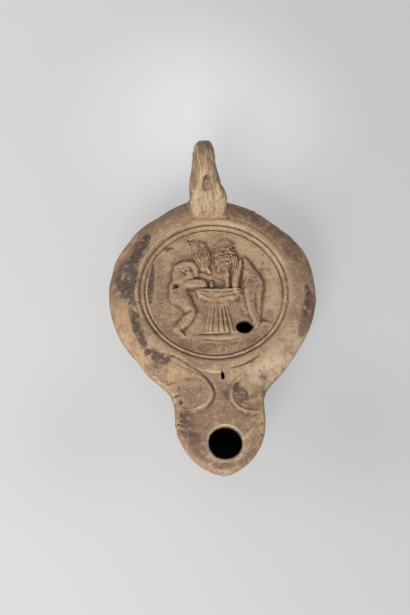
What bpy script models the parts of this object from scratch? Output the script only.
"""Roman oil lamp of mould-made fired clay: one hollow piece, in metres, +Z up.

The origin is the middle of the flat base. The wick nozzle points along -Y, the pierced ring handle
stands at +Y, and the sunk disc on top carries a relief of two figures bending over a basin.
"""

import math

import bmesh
import bpy
from mathutils import Vector

LAMP_NAME = "lamp"

# Body, turned about the Z axis
BODY_RADIUS = 0.0400
WIDEST_HEIGHT = 0.0175
BASE_RADIUS = 0.0223
BASE_EDGE_HEIGHT = 0.0006
RIM_RADIUS = 0.0298
RIM_HEIGHT = 0.0249
BODY_STEPS = 48
# Way that the widest line stands off from the disc's middle, towards the handle
BODY_SHIFT = 0.0008
SHOULDER_RINGS = 7
SIDE_RINGS = 7
# Power that sets how full the side is between the base and the widest line
SIDE_FULLNESS = 0.75

# Oil chamber, about one wall inside the body
WALL = 0.0030
CHAMBER_WIDEST_HEIGHT = 0.0170
CHAMBER_CEILING_RADIUS = 0.0308
CHAMBER_CEILING_HEIGHT = 0.0216
CHAMBER_FLOOR_RADIUS = 0.0193
CHAMBER_FLOOR_HEIGHT = 0.0034
CHAMBER_STEPS = 32
CHAMBER_SHOULDER_RINGS = 4
CHAMBER_SIDE_RINGS = 5

# Ring cut into the underside
FOOT_GROOVE_RADIUS = 0.0190
FOOT_GROOVE_HALF_WIDTH = 0.0006
FOOT_GROOVE_DEPTH = 0.0006

# Sunk disc and the two grooves with a ridge between them that frame it
DISC_RADIUS = 0.0257
DISC_CENTRE_HEIGHT = 0.0215
DISC_EDGE_HEIGHT = 0.0229
DISC_RINGS = (0.0, 0.45, 0.8, 1.0)
CHAMBER_DISC_RINGS = (0.0, 0.6, 1.0)
INNER_GROOVE_RADIUS = 0.0263
OUTER_GROOVE_RADIUS = 0.0281
GROOVE_HALF_WIDTH = 0.00045
INNER_GROOVE_HEIGHT = 0.0224
OUTER_GROOVE_HEIGHT = 0.0229
RIDGE_HEIGHT = 0.0236
RIDGE_SIDE_HEIGHT = 0.0233
# Rounded inner edge of the rim, as (radius, height)
RIM_INNER_EDGE = ((0.02855, 0.0239), (0.0292, 0.0247))

# Nozzle: half width, tip and height of each level, from the flat top down to the base
NOZZLE_TOP_HEIGHT = 0.0234
NOZZLE_WIDEST_Y = -0.0520
NOZZLE_ROOT_Y = -0.0300
NOZZLE_TIP_POWER = 0.588
NOZZLE_TIP_SHARES = (0.0, 0.22, 0.42, 0.6, 0.76, 0.88, 0.96)
NOZZLE_LEVELS = (
    (0.0153, -0.0702, 0.0234),
    (0.0160, -0.0711, 0.0227),
    (0.0165, -0.0715, 0.0195),
    (0.0163, -0.0711, 0.0160),
    (0.0147, -0.0688, 0.0125),
    (0.0121, -0.0638, 0.0098),
    (0.0090, -0.0550, 0.0075),
    (0.0060, -0.0440, 0.0058),
    (0.0030, -0.0355, 0.0046),
)
NOZZLE_CENTRE_X = -0.0006
# Flare that runs into the round body: share of the half width added, and where
NOZZLE_FLARE = ((0.30, -0.0335), (0.14, -0.0372), (0.04, -0.0408), (0.00, -0.0450))
NOZZLE_FLARE_HEIGHT = 0.0205
# Channel from the oil chamber to the wick hole: half width, tip and height of each level
CHANNEL_LEVELS = (
    (0.0112, -0.0672, 0.0206),
    (0.0132, -0.0684, 0.0190),
    (0.0131, -0.0680, 0.0160),
    (0.0108, -0.0645, 0.0133),
    (0.0078, -0.0575, 0.0112),
    (0.0048, -0.0470, 0.0092),
)

# Volutes, the curled ridges beside the nozzle's neck: side, centre of each and its radius
VOLUTE_LEFT = (-1.0, 0.0109, -0.0406, 0.0084)
VOLUTE_RIGHT = (1.0, 0.0124, -0.0412, 0.0090)
VOLUTE_RIDGE_RADIUS = 0.0008
VOLUTE_LOW_ANGLE = 265.0
VOLUTE_HIGH_ANGLE = 132.0
VOLUTE_STATIONS = 13
# Angles about the body's axis at which a volute runs out along the rim
VOLUTE_RUN_OFF_ANGLES = (21.0, 27.0)
# Low moulding between the rim and the nozzle
NECK_ARC_RADIUS = 0.0326
NECK_ARC_HALF_ANGLE = 27.0
NECK_ARC_STATIONS = 9
NECK_ARC_RIDGE_RADIUS = 0.0007
NECK_ARC_SINK = 0.0002

# Holes
WICK_HOLE_Y = -0.0606
WICK_HOLE_RADIUS = 0.0060
FILL_HOLE = (0.0109, -0.0151)
FILL_HOLE_HALF_SIZE = (0.00355, 0.00300)
AIR_SLOT = (0.0011, -0.0351)
AIR_SLOT_HALF_SIZE = (0.00065, 0.00165)
HOLE_SIDES = 28
HOLE_LOW = 0.0130
HOLE_HIGH = 0.0300

# Ring handle, in the plane x = 0: the hole, and the outer round set off from it
HANDLE_HOLE_Y = 0.0450
HANDLE_HOLE_Z = 0.0300
HANDLE_HOLE_RADIUS = 0.0052
HANDLE_OUTER_OFFSET = 0.0010
HANDLE_OUTER_RADIUS = 0.0139
HANDLE_STEPS = 28
HANDLE_FIRST_ANGLE = -150.0
HANDLE_GROOVE_DEPTH = 0.0005
# Sideways lean of the handle for each metre of height, and the root that runs down into the body
HANDLE_LEAN = -0.030
HANDLE_ROOT_ANGLE = -128.0
HANDLE_ROOT_SPREAD = 52.0
HANDLE_ROOT_DEPTH = 0.0036
# Half width by angle in degrees: 0 is the back, 90 the top, 180 the front
HANDLE_HALF_WIDTHS = (
    (-150, 0.0069),
    (-80, 0.0068),
    (-40, 0.0055),
    (0, 0.0036),
    (40, 0.0028),
    (62, 0.0031),
    (88, 0.0045),
    (125, 0.0044),
    (148, 0.0056),
    (175, 0.0066),
    (210, 0.0069),
)
HANDLE_SECTION = (
    (-0.93, 0.96),
    (-0.64, 1.00),
    (-0.36, 1.00),
    (-0.12, 1.00),
    (0.12, 1.00),
    (0.36, 1.00),
    (0.64, 1.00),
    (0.93, 0.96),
    (1.00, 0.62),
    (0.80, 0.18),
    (0.30, 0.00),
    (-0.30, 0.00),
    (-0.80, 0.18),
    (-1.00, 0.62),
)
HANDLE_GROOVE_POINTS = (2, 5)

# Relief: a limb is a row of stations (x, y, half width), with the height of its axis over the disc
RELIEF_FLATNESS = 0.62
LIMBS = {
    "left_torso": (0.0002, (
        (-0.0127, 0.0006, 0.0034), (-0.0121, 0.0050, 0.0033), (-0.0098, 0.0098, 0.0029),
    )),
    "left_thigh": (0.0004, (
        (-0.0128, -0.0008, 0.0035), (-0.0105, -0.0048, 0.0027), (-0.0083, -0.0080, 0.0019),
    )),
    "left_shin": (0.0002, (
        (-0.0080, -0.0086, 0.0019), (-0.0112, -0.0123, 0.0016), (-0.0146, -0.0157, 0.0011),
    )),
    "left_foot": (0.0001, (
        (-0.0144, -0.0153, 0.0010), (-0.0135, -0.0180, 0.0008),
    )),
    "left_far_shin": (-0.0003, (
        (-0.0053, -0.0112, 0.0019), (-0.0072, -0.0143, 0.0021), (-0.0098, -0.0170, 0.0013),
    )),
    "left_upper_arm": (0.0011, (
        (-0.0112, 0.0110, 0.0012), (-0.0082, 0.0111, 0.0015), (-0.0058, 0.0078, 0.0015),
    )),
    "left_forearm": (0.0005, (
        (-0.0090, 0.0045, 0.0015), (-0.0060, 0.0038, 0.0015), (-0.0028, 0.0035, 0.0014),
    )),
    "left_far_arm": (-0.0002, (
        (-0.0052, 0.0074, 0.0013), (0.0008, 0.0074, 0.0013), (0.0036, 0.0048, 0.0011),
    )),
    "left_hand": (0.0003, (
        (-0.0002, 0.0030, 0.0009), (0.0004, 0.0027, 0.0009),
    )),
    "left_head": (0.0006, (
        (-0.0044, 0.0188, 0.0026), (-0.0033, 0.0153, 0.0034), (-0.0021, 0.0118, 0.0026),
    )),
    "right_torso": (0.0002, (
        (0.0122, 0.0110, 0.0024), (0.0137, 0.0070, 0.0031), (0.0149, 0.0018, 0.0036),
    )),
    "right_near_leg": (0.0003, (
        (0.0146, 0.0002, 0.0030), (0.0139, -0.0058, 0.0020), (0.0142, -0.0125, 0.0014),
    )),
    "right_back_leg": (0.0000, (
        (0.0165, -0.0004, 0.0023), (0.0163, -0.0068, 0.0016), (0.0156, -0.0150, 0.0011),
    )),
    "right_far_leg": (-0.0002, (
        (0.0113, -0.0020, 0.0013), (0.0113, -0.0065, 0.0014), (0.0117, -0.0110, 0.0011),
    )),
    "right_foot": (-0.0001, (
        (0.0166, -0.0158, 0.0009), (0.0182, -0.0142, 0.0011), (0.0200, -0.0140, 0.0008),
    )),
    "right_near_arm": (0.0007, (
        (0.0108, 0.0114, 0.0014), (0.0097, 0.0063, 0.0014), (0.0089, 0.0008, 0.0014),
    )),
    "right_fist": (0.0008, (
        (0.0084, -0.0001, 0.0013), (0.0090, -0.0002, 0.0013),
    )),
    "right_far_arm": (0.0000, (
        (0.0059, 0.0095, 0.0012), (0.0055, 0.0050, 0.0011), (0.0054, 0.0012, 0.0010),
    )),
    "right_head": (0.0006, (
        (0.0059, 0.0172, 0.0032), (0.0050, 0.0150, 0.0039), (0.0043, 0.0128, 0.0030),
    )),
    "ground": (-0.0004, (
        (-0.0140, -0.0186, 0.0010), (-0.0060, -0.0190, 0.0012), (0.0010, -0.0192, 0.0013),
        (0.0090, -0.0190, 0.0012), (0.0165, -0.0184, 0.0010),
    )),
}
# Locks of the left head: offsets across it as shares of its half width
LOCK_OFFSETS = (-0.62, -0.24, 0.14, 0.52)
LOCK_RADIUS = 0.00055
# Curls of the right head: rings of them, as (share of the head's half width, count)
HAIR_CURL_RINGS = ((0.0, 1), (0.42, 5), (0.80, 9))
HAIR_CURL_RADIUS = 0.00105
HAIR_CURL_SINK = 0.0003
HAIR_CURL_TURN = 0.3
HEAD_STRETCH = 1.15

# Basin on its fluted foot, a turned form laid on the disc and flattened
BASIN_X = 0.0018
BASIN_FLATNESS = 0.27
BASIN_SINK = 0.0001
BASIN_NECK_HEIGHT = -0.0056
BASIN_PROFILE = (
    (0.0, 0.0009),
    (0.0080, 0.0009),
    (0.0086, 0.0003),
    (0.0084, -0.0007),
    (0.0078, -0.0011),
    (0.0080, -0.0018),
    (0.0074, -0.0028),
    (0.0064, -0.0032),
    (0.0064, -0.0038),
    (0.0052, -0.0048),
    (0.0039, -0.0056),
    (0.0041, -0.0085),
    (0.0049, -0.0125),
    (0.0063, -0.0166),
    (0.0067, -0.0174),
    (0.0, -0.0174),
)
BASIN_STEPS = 20
FLUTE_COUNT = 6
FLUTE_SPREAD = 0.86
FLUTE_TOP_Y = -0.0066
FLUTE_FOOT_Y = -0.0160
FLUTE_TOP_RADIUS = 0.00035
FLUTE_FOOT_RADIUS = 0.00055

# Rings of the dome that closes a tube: (distance out, width) as shares of the tube's radius
DOME_RINGS = ((0.55, 0.84), (0.90, 0.45))
FINE_TUBE = 2
PLAIN_TUBE = 1
MERGE_DISTANCE = 0.00001
SLIVER_DISTANCE = 0.00002

# Fired clay: colour, roughness and metallic value
CLAY = ((0.47, 0.33, 0.21, 1.0), 0.88, 0.0)


def clear_scene():
    """Remove what the new file starts with."""
    for item in list(bpy.data.objects):
        bpy.data.objects.remove(item, do_unlink=True)


def new_collection(name):
    """Add a collection to the scene."""
    made = bpy.data.collections.new(name)
    bpy.context.scene.collection.children.link(made)
    return made


def new_object(name, data, collection):
    """Put mesh or curve data in the scene as an object."""
    made = bpy.data.objects.new(name, data)
    collection.objects.link(made)
    return made


def hide_tool(item):
    """Keep a tool of a Boolean out of the finished part."""
    item.hide_render = True
    item.display_type = "WIRE"


def clay_material():
    """The lamp's one material."""
    colour, roughness, metallic = CLAY
    made = bpy.data.materials.new("fired_clay")
    made.use_nodes = True
    shader = made.node_tree.nodes["Principled BSDF"]
    shader.inputs["Base Color"].default_value = colour
    shader.inputs["Roughness"].default_value = roughness
    shader.inputs["Metallic"].default_value = metallic
    made.diffuse_color = colour
    return made


def mesh_from(name, bm):
    """Turn a bmesh into a mesh with its faces pointing out."""
    bmesh.ops.recalc_face_normals(bm, faces=bm.faces)
    mesh = bpy.data.meshes.new(name)
    bm.to_mesh(mesh)
    bm.free()
    return mesh


def turned(name, profile, steps, collection):
    """Turn a profile of (radius, height) pairs, given down its outer side, about the Z axis."""
    mesh = bpy.data.meshes.new(name)
    edges = [(i, i + 1) for i in range(len(profile) - 1)]
    mesh.from_pydata([(radius, 0.0, height) for radius, height in profile], edges, [])
    item = new_object(name, mesh, collection)
    screw = item.modifiers.new("turn", "SCREW")
    screw.steps = steps
    screw.render_steps = steps
    screw.use_merge_vertices = True
    screw.merge_threshold = MERGE_DISTANCE
    screw.use_smooth_shade = True
    return item


def as_mesh(item, collection):
    """Replace an object by the mesh that its modifiers or its curve make, in world space."""
    bpy.context.view_layer.update()
    evaluated = item.evaluated_get(bpy.context.evaluated_depsgraph_get())
    mesh = bpy.data.meshes.new_from_object(evaluated)
    mesh.transform(item.matrix_world)
    name = item.name
    bpy.data.objects.remove(item, do_unlink=True)
    bm = bmesh.new()
    bm.from_mesh(mesh)
    bmesh.ops.remove_doubles(bm, verts=bm.verts, dist=MERGE_DISTANCE)
    bpy.data.meshes.remove(mesh)
    return new_object(name, mesh_from(name, bm), collection)


def dome(end, inner):
    """Rings of the dome that closes a tube at its end station, from the tube outwards."""
    middle = Vector(end[:3])
    radius = end[3]
    out = (middle - Vector(inner[:3])).normalized()
    return [(*(middle + out * radius * along), radius * width) for along, width in DOME_RINGS]


def rounded_ends(stations):
    """Add a short dome to both ends of a row of (x, y, z, radius) stations."""
    start = dome(stations[0], stations[1])
    end = dome(stations[-1], stations[-2])
    return start[::-1] + list(stations) + end


def tube(name, stations, collection, resolution=FINE_TUBE):
    """Make a tapering tube with domed ends through (x, y, z, radius) stations, as a closed mesh."""
    points = rounded_ends(stations)
    curve = bpy.data.curves.new(name, "CURVE")
    curve.dimensions = "3D"
    curve.bevel_depth = 1.0
    curve.bevel_resolution = resolution
    curve.use_fill_caps = True
    spline = curve.splines.new("POLY")
    spline.points.add(len(points) - 1)
    for point, (x, y, z, radius) in zip(spline.points, points):
        point.co = (x, y, z, 1.0)
        point.radius = radius
    return as_mesh(new_object(name, curve, collection), collection)


def loft(name, rows, collection, ring=False):
    """Skin a row of sections that all have the same number of points."""
    bm = bmesh.new()
    loops = [[bm.verts.new(point) for point in row] for row in rows]
    count = len(loops[0])
    pairs = list(zip(loops, loops[1:]))
    if ring:
        pairs.append((loops[-1], loops[0]))
    else:
        bm.faces.new(loops[0])
        bm.faces.new(loops[-1][::-1])
    for lower, upper in pairs:
        for i in range(count):
            j = (i + 1) % count
            bm.faces.new((lower[i], lower[j], upper[j], upper[i]))
    return new_object(name, mesh_from(name, bm), collection)


def smoothed(value):
    """Ease a share between 0 and 1."""
    value = min(max(value, 0.0), 1.0)
    return value * value * (3.0 - 2.0 * value)


def between(stations, position):
    """Read a value from (position, value) pairs, eased from each to the next."""
    for (low, start), (high, end) in zip(stations, stations[1:]):
        if position <= high:
            return start + (end - start) * smoothed((position - low) / (high - low))
    return stations[-1][1]


def disc_height(x, y):
    """Height of the sunk disc's dished floor."""
    share = (x * x + y * y) / (DISC_RADIUS * DISC_RADIUS)
    return DISC_CENTRE_HEIGHT + (DISC_EDGE_HEIGHT - DISC_CENTRE_HEIGHT) * share


def shoulder_height(radius):
    """Height of the rounded shoulder outside the rim."""
    share = min(max((radius - RIM_RADIUS) / (BODY_RADIUS - RIM_RADIUS), 0.0), 1.0)
    return WIDEST_HEIGHT + (RIM_HEIGHT - WIDEST_HEIGHT) * math.sqrt(1.0 - share * share)


def top_height(x, y):
    """Height of the shoulder or of the nozzle's flat top, whichever is higher."""
    return max(shoulder_height(math.hypot(x, y)), NOZZLE_TOP_HEIGHT)


def shoulder_points(radius, height, inner_radius, inner_height, count):
    """Quarter oval from the shoulder's inner edge down to the widest line."""
    points = []
    for i in range(count + 1):
        angle = math.radians(90.0 * (1.0 - i / count))
        points.append((
            inner_radius + (radius - inner_radius) * math.cos(angle),
            height + (inner_height - height) * math.sin(angle),
        ))
    return points


def side_points(radius, height, foot_radius, foot_height, count):
    """Convex side from below the widest line down to the foot."""
    points = []
    for i in range(1, count + 1):
        angle = math.radians(90.0 * (1.0 - i / count))
        rise = (1.0 - math.cos(angle)) ** SIDE_FULLNESS
        points.append((
            foot_radius + (radius - foot_radius) * math.sin(angle),
            foot_height + (height - foot_height) * rise,
        ))
    return points


def disc_points(shares, drop):
    """Points across the disc's dished floor, or below it, from the middle out."""
    radii = [DISC_RADIUS * share for share in shares]
    return [(radius, disc_height(radius, 0.0) - drop) for radius in radii]


def body_profile():
    """Outer profile, from the middle of the disc over the shoulder to the middle of the base."""
    groove = GROOVE_HALF_WIDTH
    profile = disc_points(DISC_RINGS, 0.0)
    profile += [
        (INNER_GROOVE_RADIUS, INNER_GROOVE_HEIGHT),
        (INNER_GROOVE_RADIUS + groove, RIDGE_SIDE_HEIGHT),
        ((INNER_GROOVE_RADIUS + OUTER_GROOVE_RADIUS) / 2, RIDGE_HEIGHT),
        (OUTER_GROOVE_RADIUS - groove, RIDGE_SIDE_HEIGHT),
        (OUTER_GROOVE_RADIUS, OUTER_GROOVE_HEIGHT),
        *RIM_INNER_EDGE,
    ]
    profile += shoulder_points(BODY_RADIUS, WIDEST_HEIGHT, RIM_RADIUS, RIM_HEIGHT, SHOULDER_RINGS)
    profile += side_points(BODY_RADIUS, WIDEST_HEIGHT, BASE_RADIUS, BASE_EDGE_HEIGHT, SIDE_RINGS)
    profile += [
        (BASE_RADIUS - BASE_EDGE_HEIGHT, 0.0),
        (FOOT_GROOVE_RADIUS + FOOT_GROOVE_HALF_WIDTH, 0.0),
        (FOOT_GROOVE_RADIUS, FOOT_GROOVE_DEPTH),
        (FOOT_GROOVE_RADIUS - FOOT_GROOVE_HALF_WIDTH, 0.0),
        (0.0, 0.0),
    ]
    return profile


def chamber_profile():
    """Profile of the oil chamber, one wall inside the body."""
    widest = (BODY_RADIUS - WALL, CHAMBER_WIDEST_HEIGHT)
    ceiling = (CHAMBER_CEILING_RADIUS, CHAMBER_CEILING_HEIGHT)
    floor = (CHAMBER_FLOOR_RADIUS, CHAMBER_FLOOR_HEIGHT)
    profile = disc_points(CHAMBER_DISC_RINGS, WALL)
    profile += shoulder_points(*widest, *ceiling, CHAMBER_SHOULDER_RINGS)
    profile += side_points(*widest, *floor, CHAMBER_SIDE_RINGS)
    profile.append((0.0, CHAMBER_FLOOR_HEIGHT))
    return profile


def round_body(name, profile, steps, collection):
    """Turn a profile, then set its wide part towards the handle and leave the disc and the base."""
    item = as_mesh(turned(name, profile, steps, collection), collection)
    for vertex in item.data.vertices:
        radius = math.hypot(vertex.co.x, vertex.co.y)
        share = min(max((radius - RIM_RADIUS) / (BODY_RADIUS - RIM_RADIUS), 0.0), 1.0)
        vertex.co.y += BODY_SHIFT * share
    return item


def nozzle_row(half_width, tip_y, height):
    """Outline of the nozzle at one height: flared root, straight sides, then a pointed round tip."""
    straight_end = max(NOZZLE_WIDEST_Y, (tip_y + NOZZLE_ROOT_Y) / 2)
    length = straight_end - tip_y
    flare = min(1.0, (NOZZLE_TOP_HEIGHT - height) / (NOZZLE_TOP_HEIGHT - NOZZLE_FLARE_HEIGHT))
    side = []
    for share, y in NOZZLE_FLARE:
        along = (y - NOZZLE_ROOT_Y) / (NOZZLE_WIDEST_Y - NOZZLE_ROOT_Y)
        flared = half_width * (1.0 + share * flare)
        side.append((flared, NOZZLE_ROOT_Y + (straight_end - NOZZLE_ROOT_Y) * along))
    side.insert(0, (side[0][0], NOZZLE_ROOT_Y))
    for share in NOZZLE_TIP_SHARES:
        side.append((half_width * (1.0 - share * share) ** NOZZLE_TIP_POWER, straight_end - length * share))
    outline = side + [(0.0, tip_y)] + [(-x, y) for x, y in reversed(side)]
    return [(NOZZLE_CENTRE_X + x, y, height) for x, y in outline]


def nozzle(name, levels, collection):
    """Nozzle, or the channel inside it, from its levels."""
    return loft(name, [nozzle_row(*level) for level in levels], collection)


def handle_section(angle):
    """Section of the ring handle at an angle round its hole."""
    direction = Vector((0.0, math.cos(math.radians(angle)), math.sin(math.radians(angle))))
    offset = HANDLE_OUTER_OFFSET
    along = offset * (direction.y + direction.z)
    reach = along + math.sqrt(HANDLE_OUTER_RADIUS ** 2 - 2.0 * offset ** 2 + along ** 2)
    turn = (angle - HANDLE_ROOT_ANGLE + 180.0) % 360.0 - 180.0
    reach += HANDLE_ROOT_DEPTH * smoothed(1.0 - abs(turn) / HANDLE_ROOT_SPREAD)
    half_width = between(HANDLE_HALF_WIDTHS, angle)
    middle = Vector((0.0, HANDLE_HOLE_Y, HANDLE_HOLE_Z))
    section = []
    for i, (across, out) in enumerate(HANDLE_SECTION):
        distance = HANDLE_HOLE_RADIUS + (reach - HANDLE_HOLE_RADIUS) * out
        if i in HANDLE_GROOVE_POINTS:
            distance -= HANDLE_GROOVE_DEPTH
        point = middle + direction * distance
        lean = HANDLE_LEAN * (point.z - RIM_HEIGHT)
        section.append((across * half_width + lean, point.y, point.z))
    return section


def handle(collection):
    """Pierced ring handle, wide at its foot and pinched at the top."""
    step = 360.0 / HANDLE_STEPS
    rows = [handle_section(HANDLE_FIRST_ANGLE + step * i) for i in range(HANDLE_STEPS)]
    return loft("handle_ring", rows, collection, ring=True)


def volute(name, side, centre_x, centre_y, radius, collection):
    """Raised ridge that curls round the hollow beside the neck and runs off along the rim."""
    turn = (VOLUTE_HIGH_ANGLE - VOLUTE_LOW_ANGLE) / (VOLUTE_STATIONS - 1)
    path = []
    for i in range(VOLUTE_STATIONS):
        angle = math.radians(VOLUTE_LOW_ANGLE + turn * i)
        out = side * (centre_x + radius * math.cos(angle))
        path.append((out, centre_y + radius * math.sin(angle)))
    for degrees in VOLUTE_RUN_OFF_ANGLES:
        angle = math.radians(degrees)
        path.append((side * NECK_ARC_RADIUS * math.sin(angle), -NECK_ARC_RADIUS * math.cos(angle)))
    stations = [(x, y, top_height(x, y), VOLUTE_RIDGE_RADIUS) for x, y in path]
    return tube(name, stations, collection, PLAIN_TUBE)


def neck_arc(collection):
    """Low moulding between the rim and the nozzle."""
    stations = []
    for i in range(NECK_ARC_STATIONS):
        angle = math.radians(NECK_ARC_HALF_ANGLE * (2.0 * i / (NECK_ARC_STATIONS - 1) - 1.0))
        x = NECK_ARC_RADIUS * math.sin(angle)
        y = -NECK_ARC_RADIUS * math.cos(angle)
        stations.append((x, y, top_height(x, y) - NECK_ARC_SINK, NECK_ARC_RIDGE_RADIUS))
    return tube("neck_arc", stations, collection, PLAIN_TUBE)


def lay_on_disc(item, flatness, lift):
    """Flatten a form made over the plane z = 0 and lay it on the dished disc."""
    for vertex in item.data.vertices:
        x, y, z = vertex.co
        vertex.co = (x, y, disc_height(x, y) + lift + z * flatness)


def limbs(collection):
    """Bodies, arms, legs and heads of the two figures, and the ground under them."""
    for name, (lift, stations) in LIMBS.items():
        item = tube(name, [(x, y, 0.0, radius) for x, y, radius in stations], collection)
        lay_on_disc(item, RELIEF_FLATNESS, lift)


def locks(collection):
    """Long locks that fall over the left head."""
    lift, stations = LIMBS["left_head"]
    along = (Vector(stations[-1][:2]) - Vector(stations[0][:2])).normalized()
    across = Vector((-along.y, along.x))
    for i, offset in enumerate(LOCK_OFFSETS):
        rise = RELIEF_FLATNESS * math.sqrt(1.0 - offset * offset)
        path = []
        for x, y, radius in stations:
            spot = Vector((x, y)) + across * offset * radius
            height = disc_height(spot.x, spot.y) + lift + rise * radius
            path.append((spot.x, spot.y, height, LOCK_RADIUS))
        tube(f"left_lock_{i}", path, collection, PLAIN_TUBE)


def hair_curls(collection):
    """Round curls that cover the right head."""
    lift, stations = LIMBS["right_head"]
    centre_x, centre_y, radius = stations[1]
    for share, count in HAIR_CURL_RINGS:
        rise = RELIEF_FLATNESS * radius * math.sqrt(1.0 - share * share)
        for i in range(count):
            angle = 2.0 * math.pi * (i + HAIR_CURL_TURN) / count
            x = centre_x + share * radius * math.cos(angle)
            y = centre_y + share * radius * HEAD_STRETCH * math.sin(angle)
            z = disc_height(x, y) + lift + rise - HAIR_CURL_SINK
            bm = bmesh.new()
            bmesh.ops.create_uvsphere(bm, u_segments=7, v_segments=5, radius=HAIR_CURL_RADIUS)
            bmesh.ops.translate(bm, verts=bm.verts, vec=(x, y, z))
            name = f"right_curl_{count}_{i}"
            new_object(name, mesh_from(name, bm), collection)


def basin(collection):
    """Basin on a flared foot, turned about its own upright axis, laid down and flattened."""
    item = as_mesh(turned("basin", BASIN_PROFILE, BASIN_STEPS, collection), collection)
    for vertex in item.data.vertices:
        x, y, z = vertex.co
        vertex.co = (BASIN_X + x, z, -y)
    lay_on_disc(item, BASIN_FLATNESS, -BASIN_SINK)


def basin_radius(y):
    """Radius of the basin's foot at a height on the relief."""
    rows = [(-height, radius) for radius, height in BASIN_PROFILE if height <= BASIN_NECK_HEIGHT]
    return between(sorted(rows[:-1]), -y)


def flutes(collection):
    """Tapering grooves down the basin's foot."""
    for i in range(FLUTE_COUNT):
        share = (2.0 * (i + 0.5) / FLUTE_COUNT - 1.0) * FLUTE_SPREAD
        path = []
        for y, radius in ((FLUTE_TOP_Y, FLUTE_TOP_RADIUS), (FLUTE_FOOT_Y, FLUTE_FOOT_RADIUS)):
            outer = basin_radius(y)
            x = BASIN_X + share * outer
            rise = BASIN_FLATNESS * outer * math.sqrt(1.0 - share * share)
            path.append((x, y, disc_height(x, y) + rise, radius))
        tube(f"flute_{i}", path, collection, PLAIN_TUBE)


def straight_hole(name, x, y, half_x, half_y, collection):
    """Oval cutter that stands upright."""
    bm = bmesh.new()
    bmesh.ops.create_cone(
        bm, cap_ends=True, segments=HOLE_SIDES, radius1=1.0, radius2=1.0, depth=HOLE_HIGH - HOLE_LOW,
    )
    bmesh.ops.scale(bm, verts=bm.verts, vec=(half_x, half_y, 1.0))
    bmesh.ops.translate(bm, verts=bm.verts, vec=(x, y, (HOLE_LOW + HOLE_HIGH) / 2))
    new_object(name, mesh_from(name, bm), collection)


def holes(collection):
    """Wick hole, filling hole and air slot."""
    straight_hole("wick_hole", 0.0, WICK_HOLE_Y, WICK_HOLE_RADIUS, WICK_HOLE_RADIUS, collection)
    straight_hole("fill_hole", *FILL_HOLE, *FILL_HOLE_HALF_SIZE, collection)
    straight_hole("air_slot", *AIR_SLOT, *AIR_SLOT_HALF_SIZE, collection)


def combine(item, tools_collection, operation, name):
    """Join to, or cut from, an object everything in a collection."""
    step = item.modifiers.new(name, "BOOLEAN")
    step.operation = operation
    step.operand_type = "COLLECTION"
    step.collection = tools_collection
    step.solver = "EXACT"


def build():
    """Make the lamp."""
    clear_scene()
    part = new_collection("roman_oil_lamp")
    additions = new_collection("joined_forms")
    cutters = new_collection("cutters")

    lamp = round_body(LAMP_NAME, body_profile(), BODY_STEPS, part)
    lamp.data.materials.append(clay_material())

    nozzle("nozzle_solid", NOZZLE_LEVELS, additions)
    handle(additions)
    volute("left_volute", *VOLUTE_LEFT, additions)
    volute("right_volute", *VOLUTE_RIGHT, additions)
    neck_arc(additions)
    limbs(additions)
    locks(additions)
    hair_curls(additions)
    basin(additions)

    round_body("chamber", chamber_profile(), CHAMBER_STEPS, cutters)
    nozzle("nozzle_channel", CHANNEL_LEVELS, cutters)
    holes(cutters)
    flutes(cutters)

    for item in list(additions.objects) + list(cutters.objects):
        hide_tool(item)
    combine(lamp, additions, "UNION", "join_forms")
    combine(lamp, cutters, "DIFFERENCE", "cut_hollows")
    weld = lamp.modifiers.new("weld_slivers", "WELD")
    weld.merge_threshold = SLIVER_DISTANCE


build()
